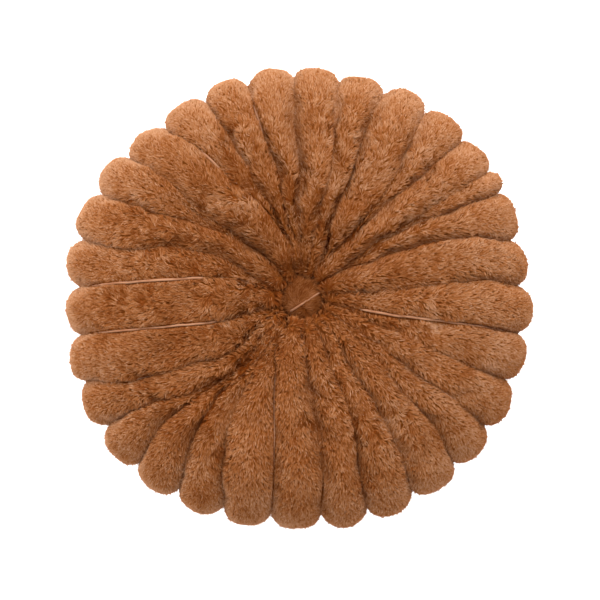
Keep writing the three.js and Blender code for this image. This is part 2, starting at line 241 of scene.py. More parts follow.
def seam_lift(i, reach):
    """How far seam i is up from its usual depth at a reach in mm, on the front."""
    table = np.array([(0, *channel.up[::-1], 0) for channel in CHANNELS])
    rows = table[i % len(CHANNELS)]
    k = np.clip(np.searchsorted(LIFT_REACH, reach), 1, len(LIFT_REACH) - 1)
    share = np.clip((reach - LIFT_REACH[k - 1]) / (LIFT_REACH[k] - LIFT_REACH[k - 1]), 0, 1)
    below, above = (np.take_along_axis(rows, column[..., None], -1)[..., 0] for column in (k - 1, k))
    return below + (above - below) * share * share * (3 - 2 * share)


def crease_depth(x, y):
    depth = np.zeros_like(x)
    for crease in CREASES:
        a, b = (
            np.array([reach * math.cos(math.radians(bearing)), reach * math.sin(math.radians(bearing))])
            for bearing, reach in ((crease.bearing, crease.reach), (crease.to_bearing, crease.to_reach))
        )
        along = b - a
        share = np.clip(((x - a[0]) * along[0] + (y - a[1]) * along[1]) / (along @ along), 0, 1)
        away = np.hypot(x - a[0] - share * along[0], y - a[1] - share * along[1])
        swell = np.sin(math.pi * (CREASE_END + (1 - 2 * CREASE_END) * share))
        depth += crease.depth * swell * np.exp(-((away / crease.width) ** 2))
    return depth


def cover_point(i, across, share, fullness=1.0, sink=0.0, groove=0.0):
    """Points of the cushion in mm: across goes from 0 to 1 over channel i, and share from hub to hub."""
    r, z, puff = np.moveaxis(seam_path(share), -1, 0)
    ahead, behind = seam_path(share + PATH_STEP), seam_path(share - PATH_STEP)
    tangent = (ahead - behind)[..., :2]
    tangent /= np.linalg.norm(tangent, axis=-1, keepdims=True)
    out_r, out_z = -tangent[..., 1], tangent[..., 0]

    dips, tips, crests = (np.array([getattr(c, name) for c in CHANNELS]) for name in ("dip", "tip", "crest"))
    after = (i + 1) % len(CHANNELS)
    rimward = smoothstep(r, FADE_FROM, NOMINAL_RIM)
    dip = dips[i] * (1 - across) + dips[after] * across
    seam_reach = r * (1 + rimward * (dip / NOMINAL_RIM - 1))

    start, end = seam_bearing(i, share, r), seam_bearing(i + 1, share, r)
    width = (end - start) / EVEN_STEP
    uneven = 1 + sum(size * np.sin(turn * i + along * share) for size, turn, along in SWELLS)
    usual = puff * np.clip(width, NARROWEST, WIDEST) ** CROWDING * uneven
    at_rim = tips[i] - (dips[i] + dips[after]) / 2
    at_rim = at_rim + sum(size * np.sin(turn * i + past * across) for size, turn, past in RUFFLES)
    tipward = smoothstep(r, TIP_FROM, NOMINAL_RIM)
    broad = np.radians(end - start) * seam_reach
    most = STEEPEST * broad + at_rim * tipward
    height = np.minimum(usual * (1 - tipward) + at_rim * tipward, most) * fullness
    roundness = FACE_ROUNDNESS + (TIP_ROUNDNESS - FACE_ROUNDNESS) * tipward

    crest = 0.5 + rimward * (crests[i] - 0.5)
    climbed = np.where(across < crest, across / crest, (1 - across) / (1 - crest))
    climbed = np.clip(climbed, 0, 1)
    beside = np.where(across < crest, i, i + 1)
    lift = np.minimum(np.where(share < RIM_SHARE, seam_lift(beside, r), 0), height * MOST_LIFT)
    drawn = groove * np.minimum(1, broad / FULL_GROOVE) * (1 - climbed) ** GROOVE_SHARPNESS
    drawn = drawn * (1 - parting(beside, r))
    rise = lift + (height - lift) * np.sin(math.pi / 2 * climbed) ** roundness - sink - drawn

    angle = np.radians(start * (1 - across) + end * across)
    reach = seam_reach + out_r * rise
    x, y = reach * np.cos(angle), reach * np.sin(angle)
    crease = np.where(share < RIM_SHARE, crease_depth(x, y), 0)
    return np.stack([x, y, z + out_z * rise - crease], -1)


def mesh_array(mesh, what, size):
    values = np.empty(len(getattr(mesh, what[0])) * size)
    getattr(mesh, what[0]).foreach_get(what[1], values)
    return values.reshape(-1, size)


def new_object(name, mesh):
    piece = bpy.data.objects.new(name, mesh)
    bpy.context.scene.collection.objects.link(piece)
    return piece


def seam_shares(mesh):
    """The share of the seam's path that each point of the cover lies on."""
    share = np.empty(len(mesh.vertices))
    mesh.attributes["share"].data.foreach_get("value", share)
    return share


def list_in_order(mesh):
    """Rebuilds a ring with its faces in sorted order, because a spin lists them differently in each run."""
    points, share = mesh_array(mesh, ("vertices", "co"), 3), seam_shares(mesh)
    corners = np.empty(len(mesh.loops), dtype=np.int32)
    mesh.loops.foreach_get("vertex_index", corners)
    corners = corners.reshape(-1, 4)
    start = corners.argmin(axis=1)[:, None]
    corners = np.take_along_axis(corners, (start + np.arange(4)) % 4, 1)
    corners = corners[np.lexsort(corners.T[::-1])]
    mesh.clear_geometry()
    mesh.from_pydata(points, [], corners)
    mesh.attributes.new("share", "FLOAT", "POINT").data.foreach_set("value", share)


def turned_cover():
    """A ring turned from the seam's path, open at both hubs, with each point's share of that path."""
    shares = np.linspace(0, 1, BANDS + 1)
    bm = bmesh.new()
    share_layer = bm.verts.layers.float.new("share")
    points = []
    for (r, z, _), share in zip(seam_path(shares), shares):
        point = bm.verts.new((r, 0, z))
        point[share_layer] = share
        points.append(point)
    edges = [bm.edges.new(pair) for pair in zip(points, points[1:])]
    bmesh.ops.spin(
        bm, geom=points + edges, cent=(0, 0, 0), axis=(0, 0, 1), dvec=(0, 0, 0),
        angle=math.tau, steps=len(CHANNELS) * len(COLUMN_PLACES), use_merge=True, use_duplicate=False,
    )
    bmesh.ops.recalc_face_normals(bm, faces=bm.faces)
    mesh = bpy.data.meshes.new("cushion_cover")
    bm.to_mesh(mesh)
    bm.free()
    list_in_order(mesh)
    return mesh


def lay_channels(mesh):
    """The place in mm of each point of the turned ring on the channels, and whether it is held still."""
    points, share = mesh_array(mesh, ("vertices", "co"), 3), seam_shares(mesh)
    columns = len(COLUMN_PLACES)
    around = len(CHANNELS) * columns
    column = np.rint(np.arctan2(points[:, 1], points[:, 0]) / math.tau * around).astype(int) % around
    i, across = column // columns, np.array(COLUMN_PLACES)[column % columns]
    laid = cover_point(i, across, share, FULLNESS, SKIN_DEPTH, GROOVE)
    laid[:, 2] = np.maximum(laid[:, 2], UNDER_PILE)
    from_hub = np.hypot(laid[:, 0], laid[:, 1])
    held = (across == 0) | (from_hub < HUB_HELD) | (laid[:, 2] < UNDER_PILE + RESTING)
    return laid, held


def blow_up(piece, places, held):
    """Runs the cloth simulation on a piece, whose mesh is in metres, and returns its capped places in mm."""
    group = piece.vertex_groups.new(name="held")
    group.add([int(k) for k in np.flatnonzero(held)], 1.0, "REPLACE")
    cloth = piece.modifiers.new("cloth", "CLOTH")
    cloth.settings.vertex_group_mass = "held"
    cloth.settings.use_pressure = True
    cloth.settings.uniform_pressure_force = PRESSURE
    cloth.settings.shrink_min = SLACK
    cloth.settings.effector_weights.gravity = 0
    cloth.point_cache.frame_start, cloth.point_cache.frame_end = 1, SIM_FRAMES
    for step in range(1, SIM_FRAMES + 1):
        bpy.context.scene.frame_set(step)
    blown = piece.evaluated_get(bpy.context.evaluated_depsgraph_get())
    after = mesh_array(blown.data, ("vertices", "co"), 3) / MM
    piece.modifiers.remove(cloth)
    bpy.context.scene.frame_set(1)
    move = after - places
    far = np.linalg.norm(move, axis=1, keepdims=True)
    move *= np.minimum(1, MOST_MOVE / np.maximum(far, TINY))
    return places + move


def close_hubs(mesh):
    """Closes the open middle of each hub with a fan of faces."""
    bm = bmesh.new()
    bm.from_mesh(mesh)
    edges = [edge for edge in bm.edges if edge.is_boundary]
    caps = bmesh.ops.holes_fill(bm, edges=edges, sides=0)["faces"]
    bmesh.ops.poke(bm, faces=caps)
    bmesh.ops.recalc_face_normals(bm, faces=bm.faces)
    bm.to_mesh(mesh)
    bm.free()


def place_points(mesh, places):
    mesh.vertices.foreach_set("co", (places * MM).ravel())
    mesh.update()


cover_mesh = turned_cover()
cover_places, cover_held = lay_channels(cover_mesh)
cover_places += np.array(HUB)
place_points(cover_mesh, cover_places)
cover = new_object("cushion_cover", cover_mesh)
cover_places = blow_up(cover, cover_places, cover_held)
cover_places[:, 2] = np.maximum(cover_places[:, 2], UNDER_PILE)
place_points(cover_mesh, cover_places)
finer = cover.modifiers.new("finer", "SUBSURF")
finer.levels = finer.render_levels = 1
fine = cover.evaluated_get(bpy.context.evaluated_depsgraph_get())
fine_mesh = bpy.data.meshes.new_from_object(fine)
cover.modifiers.clear()
cover.data = fine_mesh
bpy.data.meshes.remove(cover_mesh)
fine_mesh.name = "cushion_cover"
close_hubs(fine_mesh)
fine_mesh.shade_smooth()
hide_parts("cushion")
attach(cover, "root")


class Socket:
    """An output of a shader node. Arithmetic on it adds Math nodes."""

    def __init__(self, tree, socket):
        self.tree = tree
        self.socket = socket

    def add(self, kind, settings=None, inputs=None, output=0):
        """A new node of a kind: its settings are set first, then the values or links of its sockets."""
        node = self.tree.nodes.new(kind)
        for name, value in (settings or {}).items():
            if name == "stops":
                ramp = node.color_ramp
                while len(ramp.elements) < len(value):
                    ramp.elements.new(0.5)
                for element, (position, colour) in zip(ramp.elements, value):
                    element.position = position
                    element.color = (*colour, 1)
            else:
                setattr(node, name, value)
        for name, value in (inputs or {}).items():
            if isinstance(value, Socket):
                self.tree.links.new(value.socket, node.inputs[name])
            else:
                node.inputs[name].default_value = value
        return Socket(self.tree, node.outputs[output])

    def maths(self, operation, first, second):
        return self.add("ShaderNodeMath", {"operation": operation}, {0: first, 1: second})

    def __add__(self, other):
        return self.maths("ADD", self, other)

    def __radd__(self, other):
        return self.maths("ADD", other, self)

    def __mul__(self, other):
        return self.maths("MULTIPLY", self, other)

    def __rmul__(self, other):
        return self.maths("MULTIPLY", other, self)


def new_material(name, roughness):
    """A matt material, its shader node, and the Object coordinates, which start its expressions."""
    material = bpy.data.materials.new(name)
    material.use_nodes = True
    tree = material.node_tree
    shader = next(node for node in tree.nodes if node.type == "BSDF_PRINCIPLED")
    shader.inputs["Roughness"].default_value = roughness
    shader.inputs["Specular IOR Level"].default_value = 0.0
    coordinates = tree.nodes.new("ShaderNodeTexCoord")
    return material, shader, Socket(tree, coordinates.outputs["Object"])


BACKING_ROUGHNESS = 0.95
BACKING_DARK = (0.15, 0.033, 0.004)
BACKING_LIGHT = (0.30, 0.09, 0.018)
BACKING_SHADES = (0.3, 0.8)  # where the dark ends and where the light is full
PATCH_SCALE = 60.0  # worn patches for each metre, about
PATCH_DETAIL = 3.0
PATCH_SHARE = 0.8  # of the shade
LOOP_SCALE = 700.0  # knitted loops for each metre
LOOP_SHARE = 0.3
LOOP_DEPTH = 0.5  # mm
LOOP_BUMP = 0.5  # the strength of their bump


def cover_material():
    material, shader, place = new_material("plush_backing", BACKING_ROUGHNESS)
    worn = {"Vector": place, "Scale": PATCH_SCALE, "Detail": PATCH_DETAIL}
    patches = place.add("ShaderNodeTexNoise", inputs=worn)
    loops = place.add("ShaderNodeTexVoronoi", inputs={"Vector": place, "Scale": LOOP_SCALE})
    shade = patches * PATCH_SHARE + loops * LOOP_SHARE
    stops = list(zip(BACKING_SHADES, (BACKING_DARK, BACKING_LIGHT)))
    colour = place.add("ShaderNodeValToRGB", {"stops": stops}, {"Fac": shade})
    raised = {"Height": loops, "Strength": LOOP_BUMP, "Distance": LOOP_DEPTH * MM}
    bump = place.add("ShaderNodeBump", inputs=raised)
    place.tree.links.new(colour.socket, shader.inputs["Base Color"])
    place.tree.links.new(bump.socket, shader.inputs["Normal"])
    return material


cover.data.materials.append(cover_material())

# The pile
# The plush has a short dense pile, 7 mm long and worn to 5 over the rim, combed outwards from the hub. It
# lies in small locks of slim blades, each with painted shade darkening its root and a lighter tip. It is
# shorter and flatter at the seams, and sparser underneath. Its tone also carries painted shade in the seams,
# towards the hub and round the button, and painted light over the rim, along its edge and towards one side.

PILE_LENGTH = 7.0  # mm
RIM_LENGTH = 5.0  # mm, where it is worn smooth over the rim
WORN_RIM = (165, 215)  # mm from the hub, between which that comes about
LENGTHS = (0.8, 1.1)  # of the length, from the shortest lock to the longest
PILE_LIFT = 3.3  # mm that the tips stand off the cloth
RIM_LIFT = 2.4  # mm, the same over the rim
LIFTS = (0.85, 1.1)  # of that, from the flattest lock to the steepest
FLUFFY_HUB = (35, 110)  # mm from the hub, between which the pile's fluff fades
FLUFF = 0.2  # how much longer and higher it is where it isn't worn
SEAM_LENGTH = 0.7  # of its length, that it has at a seam
SEAM_SHORT = 6  # mm from the seam, within which it is shorter
SEAM_STAND = 1.2  # mm that its tips stand off the cloth at a seam, at most
SEAM_STAND_GAIN = 0.9  # mm more of that for each mm away from the seam
FLOOR_STAND = 0.8  # mm, the same where it faces the floor, at least
BLADE_WIDTH = 0.85  # mm, at its widest
BLADE_WIDTHS = (0.75, 1.25)  # of that, from the slimmest to the widest
BLADE_SIZES = (0.78, 1.08)  # of its lock's length, from the shortest to the longest
BLADE_ARCH = 0.22  # of its tip's height, that its middle stands above the straight line
SHORTEST_RUN = 1.0  # mm that a lock reaches along the cloth, at least
BLADES = 2  # in a lock
LOCKS = 205000
LOCK_SPREAD = 1.0  # mm from a lock's middle to its outermost roots
TIP_SPREAD = 0.8  # mm, the same for its tips
DEVIATION = 0.5  # of those two, one standard deviation
CURL = 0.6  # mm that a blade's middle stands aside
UNDERSIDE_DENSITY = 0.4  # of the front's
UNDERSIDE_FACING = -0.35  # of a normal, its upward share, below which that holds
FLOOR_FACING = -0.2  # the same, above which the pile doesn't face the floor
PILE_WEDGES = 5  # pieces of pile, each with an equal number of channels
FLOOR_CLEARANCE = 0.2  # mm
TWIST = 0.5  # radians that a blade may turn about its own length
FAN = 0.3  # radians that the pile leans from the crest towards the seams
RUN_STEP = 0.004  # of the seam's path, over which the run of a channel is taken
TOUSLED_SIZE = 45  # mm from one tousled patch to the next
TOUSLED_SEED = 3
TOUSLED_TOP = 0.0015  # more of it for each mm towards the top of the picture
TOUSLED_FROM = (-0.5, 0.4)  # of the drift's value, from smooth to tousled
Wander = namedtuple("Wander", "amount size seed smooth")  # size in mm, and the share of it where untousled
SWIRLS = [Wander(0.5, 34, 34, 0.2), Wander(1.0, 8, 8, 0.0)]  # of the comb, in radians
SEAM_REACH = 0.9  # of the way to its seam, that a lock's tip may lean, and
SEAM_OVERHANG = 1  # mm more
SEAM_PAINTED_SHADE = 0.45  # painted shade: how much darker the pile is in a seam's crevice
SEAM_WIDTH = (0.5, 2.0)  # mm from the seam, between which that fades
SEAM_FROM = (35, 90)  # mm from the hub, between which it comes about
SHALLOW_SEAM = 10  # mm of lift at which it would be gone
SEAM_SHADE_LIMITS = (0.2, 1.3)  # of it, the least and the most
PARTED_WIDTH = (1, 6)  # mm from a parted seam, between which the pile's lean away from it fades
PARTED_TURN = 1.3  # radians that it leans from the channel's run there
TURN_IN = (21, 34)  # mm from the hub, between which the comb turns outwards
TURNED = 2.6  # radians that it is turned there
STRAY = 0.25  # radians that a lock strays from its neighbours
MIDDLE_TONE = 0.5  # half way from the darkest pile, 0, to the lightest, 1
TONES = [Wander(0.10, 30, 31, 1.0), Wander(0.20, 8, 9, 0.3), Wander(0.1, 5, 6, 0.1)]  # of the tone
RIM_PAINTED_LIGHT = 0.08  # painted light: how much lighter the pile is over the rim
EDGE_PAINTED_LIGHT = 0.17  # painted light: how much lighter yet it is along the very edge
EDGE_SIDE_PAINTED_LIGHT = 0.17  # painted light: how much lighter still it is on one side of the edge, and less light on the other
EDGE_LIT_BEARING = math.radians(170)  # of the side with more painted light
EDGE_STEEPNESS = (0.3, 0.8)  # of a normal, its share up or down, between which that fades
HUB_PAINTED_SHADE = 0.125  # painted shade: how much darker it is towards the hub
HUB_SHADE = (60, 210)  # mm from the hub, between which that fades
NAP_PAINTED_LIGHT = 0.095  # painted light: how much lighter it is towards one side, and darker towards the other
NAP_BEARING = math.radians(22)  # of that side
NAP_REACH = (20, 170)  # mm from the hub, between which that comes about
PIT_PAINTED_SHADE = 0.17  # painted shade: how much darker yet it is around the button, down in the pit
PIT_SHADE = (24, 46)  # mm from the hub, between which that fades
TUFTS = 0.07  # of the locks over the rim, that stand off from the rest
TUFT_LIFT = 0.6  # how much further they stand off
TUFT_TURN = 0.5  # radians that they stray
LOCK_TONE = 0.05  # that the tone strays from lock to lock
BLADE_TONE = 0.2  # and from blade to blade
NORMAL_SHADE = 0.75  # how much the way its channel faces shades it, against each blade's own 1
CROWN_SHADE = 0.75  # and the way the whole crown faces
CROWN_MIDDLE = (0, 0, 55)  # mm
CROWN_REACH = (226, 226, 62)  # mm
SEED = 7
SEED_STEPS = (17.3, 5.7, 11.1)  # in x, y and z, from one seed's drift to the next
MAP_MARGIN = 0.02  # of the map, left free at its border
MAP_HALF = 0.004  # of the map, from a blade's line to its widest points
LEAST_SPAN = 0.1  # degrees


def channel_places(points, share):
    """The channel, the place across it and its width in mm, for points in mm at shares of the seam's path."""
    reach = np.hypot(points[:, 0], points[:, 1])
    nominal = seam_path(share)[:, 0]
    angle = np.degrees(np.arctan2(points[:, 1], points[:, 0]))
    seams = np.broadcast_to(np.arange(len(CHANNELS)), (len(points), len(CHANNELS)))
    starts = seam_bearing(seams, share[:, None], nominal[:, None])
    past = (angle[:, None] - starts) % 360
    i = past.argmin(axis=1)
    start = np.take_along_axis(starts, i[:, None], 1)[:, 0]
    end = seam_bearing(i + 1, share, nominal)
    span = np.maximum(end - start, LEAST_SPAN)
    across = np.clip(past[np.arange(len(points)), i] / span, 0, 1)
    return i, across, np.radians(span) * reach


def drift(points, size, seed):
    """A smooth wandering value from about -1 to 1 at each point."""
    offset = Vector([seed * step for step in SEED_STEPS])
    return np.array([noise.noise(Vector(point) / size + offset) for point in points]) * 2


def unit(vectors):
    return vectors / np.maximum(np.linalg.norm(vectors, axis=-1, keepdims=True), TINY)


def scatter(mesh, count, weigh, rng):
    """Random points of a mesh, spread by area and weight: places, normals, corners and the mix of those."""
    mesh.calc_loop_triangles()
    triangles = np.empty(len(mesh.loop_triangles) * 3, dtype=np.int32)
    mesh.loop_triangles.foreach_get("vertices", triangles)
    triangles = triangles.reshape(-1, 3)
    corners = mesh_array(mesh, ("vertices", "co"), 3) / MM
    normals = mesh_array(mesh, ("vertices", "normal"), 3)
    a, b, c = (corners[triangles[:, k]] for k in range(3))
    area = np.linalg.norm(np.cross(b - a, c - a), axis=1) / 2
    weight = area * weigh((a + b + c) / 3, normals[triangles].mean(axis=1))
    share_drawn = (np.arange(count) + rng.random(count)) / count
    chosen = np.searchsorted(np.cumsum(weight) / weight.sum(), share_drawn)
    u, v = rng.random(count), rng.random(count)
    over = u + v > 1
    u[over], v[over] = 1 - u[over], 1 - v[over]
    mix = np.stack([1 - u - v, u, v], 1)
    corner = triangles[chosen]
    place = np.einsum("nk,nkd->nd", mix, corners[corner])
    normal = unit(np.einsum("nk,nkd->nd", mix, normals[corner]))
    return place, normal, corner, mix


def blade_mesh(name, roots, middles, tips, widths, tones, shading):
    """Joined blades of two triangles each. Their map has the tone across it and root to tip upwards."""
    count = len(roots)
    points = np.stack([roots, middles - widths, middles + widths, tips], 1)
    corners = (np.arange(count)[:, None] * 4 + np.array([0, 1, 2, 1, 3, 2])).ravel()
    mesh = bpy.data.meshes.new(name)
    mesh.vertices.add(count * 4)
    mesh.vertices.foreach_set("co", (points * MM).ravel())
    mesh.loops.add(count * 6)
    mesh.loops.foreach_set("vertex_index", corners.astype(np.int32))
    mesh.polygons.add(count * 2)
    mesh.polygons.foreach_set("loop_start", np.arange(0, count * 6, 3, dtype=np.int32))
    mesh.update(calc_edges=True)
    tone = MAP_MARGIN + (1 - 2 * MAP_MARGIN) * np.clip(tones, 0, 1)
    flat = np.stack([tone, tone - MAP_HALF, tone + MAP_HALF, tone], 1)
    up = np.broadcast_to([MAP_MARGIN, 0.5, 0.5, 1 - MAP_MARGIN], flat.shape)
    layer = mesh.uv_layers.new(name="OFBake")
    layer.uv.foreach_set("vector", np.stack([flat, up], -1).reshape(-1, 2)[corners].ravel())
    mesh.shade_smooth()
    mesh.normals_split_custom_set_from_vertices(np.repeat(shading, 4, axis=0))
    return mesh


def locks_of_blades(place, normal, comb, length, lift, tone, rng):
    """Blades of pile in locks: comb is the way that each lock leans, and lift how far its tip stands off."""
    count = len(place) * BLADES
    place, normal, comb = (np.repeat(v, BLADES, axis=0) for v in (place, normal, comb))
    length, lift, tone = (np.repeat(v, BLADES) for v in (length, lift, tone))
    side = np.cross(normal, comb)
    spread = rng.normal(0, DEVIATION, (count, 2)) * LOCK_SPREAD
    gather = rng.normal(0, DEVIATION, (count, 2)) * TIP_SPREAD
    own = rng.uniform(*BLADE_SIZES, count)
    run = np.sqrt(np.maximum(length**2 - lift**2, SHORTEST_RUN**2)) * own
    rise = lift * own
    root = place + comb * spread[:, :1] + side * spread[:, 1:]
    lean = comb * (run + gather[:, 0])[:, None] + side * gather[:, 1:]
    tip = place + lean + normal * rise[:, None]
    curl = rng.normal(0, CURL, count)
    middle = (root + tip) / 2 + normal * (BLADE_ARCH * rise)[:, None] + side * curl[:, None]
    turn = rng.uniform(-TWIST, TWIST, count)[:, None]
    half_width = (BLADE_WIDTH / 2 * rng.uniform(*BLADE_WIDTHS, count))[:, None]
    across = unit(side * np.cos(turn) + normal * np.sin(turn)) * half_width
    facing = unit(np.cross(tip - root, across))
    up = np.where(np.sum(facing * normal, axis=1, keepdims=True) < 0, -1, 1)
    facing, across = facing * up, across * up
    crown = unit((place - np.array(CROWN_MIDDLE)) / np.array(CROWN_REACH) ** 2)
    shading = unit(facing + normal * NORMAL_SHADE + crown * CROWN_SHADE)
    tone = tone + rng.normal(0, BLADE_TONE, count)
    return root, middle, tip, across, tone, shading


rng = np.random.default_rng(SEED)


def pile_weight(middles, normals):
    return np.where(normals[:, 2] < UNDERSIDE_FACING, UNDERSIDE_DENSITY, 1.0)


lock_place, lock_normal, lock_corner, lock_mix = scatter(cover.data, LOCKS, pile_weight, rng)
lock_share = np.einsum("nk,nk->n", lock_mix, seam_shares(cover.data)[lock_corner])
hub_frame = lock_place - np.array(HUB)
lock_channel, lock_across, lock_width = channel_places(hub_frame, lock_share)
ahead, behind = (
    cover_point(lock_channel, lock_across, np.clip(lock_share + step, 0, 1)) for step in (RUN_STEP, -RUN_STEP)
)
outward = unit(ahead - behind)
outward = unit(outward - lock_normal * np.sum(outward * lock_normal, axis=1, keepdims=True))
aside = np.cross(lock_normal, outward)
to_seam = np.minimum(lock_across, 1 - lock_across) * lock_width
lock_reach = np.hypot(hub_frame[:, 0], hub_frame[:, 1])
over_rim = smoothstep(lock_reach, *WORN_RIM)
lock_length = PILE_LENGTH + over_rim * (RIM_LENGTH - PILE_LENGTH)
near_seam = 1 - smoothstep(to_seam, 0, SEAM_SHORT)
lock_length *= rng.uniform(*LENGTHS, LOCKS) * (1 - (1 - SEAM_LENGTH) * near_seam)
lock_lift = (PILE_LIFT + over_rim * (RIM_LIFT - PILE_LIFT)) * rng.uniform(*LIFTS, LOCKS)
fluffy = 1 + FLUFF * (1 - smoothstep(lock_reach, *FLUFFY_HUB))
lock_length *= fluffy
lock_lift *= fluffy
beside = np.where(lock_across < 0.5, lock_channel, lock_channel + 1)
shown = parting(beside, lock_reach) * (lock_share < RIM_SHARE)
lock_lift = np.minimum(lock_lift, SEAM_STAND + SEAM_STAND_GAIN * to_seam)
above_floor = np.maximum(lock_place[:, 2] - FLOOR_CLEARANCE, FLOOR_STAND)
lock_lift = np.where(lock_normal[:, 2] > FLOOR_FACING, lock_lift, np.minimum(lock_lift, above_floor))
tousled = drift(lock_place, TOUSLED_SIZE, TOUSLED_SEED) + TOUSLED_TOP * lock_place[:, 1]
tousled = smoothstep(tousled, *TOUSLED_FROM) * (1 - over_rim)
inward = 1 - smoothstep(lock_reach, *TURN_IN)
turning = FAN * (2 * lock_across - 1) + TURNED * inward
for amount, size, seed, smooth in SWIRLS:
    turning += amount * (smooth + (1 - smooth) * tousled) * drift(lock_place, size, seed)
turning += rng.normal(0, STRAY, LOCKS)
room = SEAM_REACH * to_seam + SEAM_OVERHANG
most = np.arcsin(np.clip(room / lock_length, 0, 1)) + TURNED * inward
turning = np.where((turning < 0) == (lock_across < 0.5), np.clip(turning, -most, most), turning)
away = np.where(lock_across < 0.5, PARTED_TURN, -PARTED_TURN)
turning += shown * (1 - smoothstep(to_seam, *PARTED_WIDTH)) * (away - turning)
tufted = rng.random(LOCKS) < TUFTS * over_rim
lock_lift *= 1 + TUFT_LIFT * tufted
turning += tufted * rng.normal(0, TUFT_TURN, LOCKS)
lock_comb = outward * np.cos(turning)[:, None] + aside * np.sin(turning)[:, None]
# painted light over the rim, and painted shade towards the hub
lock_tone = MIDDLE_TONE + RIM_PAINTED_LIGHT * over_rim - HUB_PAINTED_SHADE * (1 - smoothstep(lock_reach, *HUB_SHADE))
# painted shade in the pit around the button
lock_tone -= PIT_PAINTED_SHADE * (1 - smoothstep(lock_reach, *PIT_SHADE))
# painted shade along the seams, less where a seam is raised or parted
depth = np.clip(1 - seam_lift(beside, lock_reach) / SHALLOW_SEAM, *SEAM_SHADE_LIMITS) * (1 - shown)
depth *= smoothstep(lock_reach, *SEAM_FROM) * (lock_share < RIM_SHARE)
lock_tone -= SEAM_PAINTED_SHADE * depth * (1 - smoothstep(to_seam, *SEAM_WIDTH))
lock_bearing = np.arctan2(hub_frame[:, 1], hub_frame[:, 0])
# painted light and shade: lighter towards one bearing, darker away from it
painted_nap_light = np.cos(lock_bearing - NAP_BEARING)
# painted light along the rim's steep edge, stronger on one side
edge = (1 - smoothstep(np.abs(lock_normal[:, 2]), *EDGE_STEEPNESS)) * over_rim
lock_tone += NAP_PAINTED_LIGHT * painted_nap_light * smoothstep(lock_reach, *NAP_REACH) * (1 - edge)
lock_tone += (EDGE_PAINTED_LIGHT + EDGE_SIDE_PAINTED_LIGHT * np.cos(lock_bearing - EDGE_LIT_BEARING)) * edge
lock_tone += rng.normal(0, LOCK_TONE, LOCKS)
for amount, size, seed, smooth in TONES:
    lock_tone += amount * (smooth + (1 - smooth) * tousled) * drift(lock_place, size, seed)

PILE_ROUGHNESS = 0.9
PILE_DARK = (0.18, 0.040, 0.005)
PILE_MIDDLE = (0.356, 0.136, 0.047)
PILE_LIGHT = (0.53, 0.29, 0.168)
# painted shade: each blade darkens towards its root, where the pile shades itself
ROOT_PAINTED_SHADE = (0.74, 0.54, 0.30)
HALF_SHADE = (0.94, 0.87, 0.79)
TIP_SHADE = (1, 1, 1)
HALF_WAY = 0.55  # from root to tip
MIX_FACTOR, MIX_A, MIX_B, MIX_RESULT = 0, 6, 7, 2  # the Mix node's colour sockets


def pile_material(name, dark, middle, light):
    material, shader, place = new_material(name, PILE_ROUGHNESS)
    strand = place.add("ShaderNodeUVMap", {"uv_map": "OFBake"})
    tone = strand.add("ShaderNodeSeparateXYZ", inputs={"Vector": strand}, output=0)
    along = strand.add("ShaderNodeSeparateXYZ", inputs={"Vector": strand}, output=1)
    stops = [(0, dark), (MIDDLE_TONE, middle), (1, light)]
    dye = tone.add("ShaderNodeValToRGB", {"stops": stops}, {"Fac": tone})
    stops = [(0, ROOT_PAINTED_SHADE), (HALF_WAY, HALF_SHADE), (1, TIP_SHADE)]
    shade = along.add("ShaderNodeValToRGB", {"stops": stops}, {"Fac": along})
    settings = {"data_type": "RGBA", "blend_type": "MULTIPLY"}
    colour = dye.add("ShaderNodeMix", settings, {MIX_FACTOR: 1.0, MIX_A: dye, MIX_B: shade}, MIX_RESULT)
    colour.tree.links.new(colour.socket, shader.inputs["Base Color"])
    return material


plush_pile = pile_material("plush_pile", PILE_DARK, PILE_MIDDLE, PILE_LIGHT)
in_wedge = len(CHANNELS) // PILE_WEDGES
for wedge in range(PILE_WEDGES):
    mine = lock_channel // in_wedge == wedge
    values = (lock_place, lock_normal, lock_comb, lock_length, lock_lift, lock_tone)
    roots, middles, tips, widths, tones, shading = locks_of_blades(*(v[mine] for v in values), rng)
    for points, half_height in ((roots, 0), (middles, np.abs(widths[:, 2])), (tips, 0)):
        points[:, 2] = np.maximum(points[:, 2], FLOOR_CLEARANCE + half_height)
    name = f"pile_channels_{wedge * in_wedge + 1}_to_{(wedge + 1) * in_wedge}"
    pile = new_object(name, blade_mesh(name, roots, middles, tips, widths, tones, shading))
    pile.data.materials.append(plush_pile)
    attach(pile, "root")

# The seam threads
# Where the pile parts along a seam, the sewing shows as a thin pale line of thread between the channels. Each
# is a slim round strand that lies in the seam and sinks into the pile at both ends.

THREAD_RADIUS = 1.25  # mm
THREAD_SIDES = 6
THREAD_STEP = 3.0  # mm from one ring of points to the next
THREAD_PROUD = 2.4  # mm that its middle lies above the cloth
THREAD_SUNK = 3.4  # mm deeper at its ends
THREAD_END = 0.2  # of its radius, at its ends
THREAD_WANDER = 0.7  # mm, the whole width of its wander
THREAD_WAVE = 14  # mm from one bend of that to the next
THREAD_LANES = (0, 7)  # far apart in the noise, for the wander in x and in y
PATH_POINTS = 400  # of the seam's path, between which a place on it is found
THREAD_ROUGHNESS = 0.8
THREAD_PALE = (0.43, 0.21, 0.115)
THREAD_BROWN = (0.30, 0.125, 0.06)
THREAD_SHADES = (0.35, 0.6)  # of the twist's value, where the brown ends and where the pale is full
TWIST_SCALE = 90.0  # for each metre
TWIST_DETAIL = 2.0


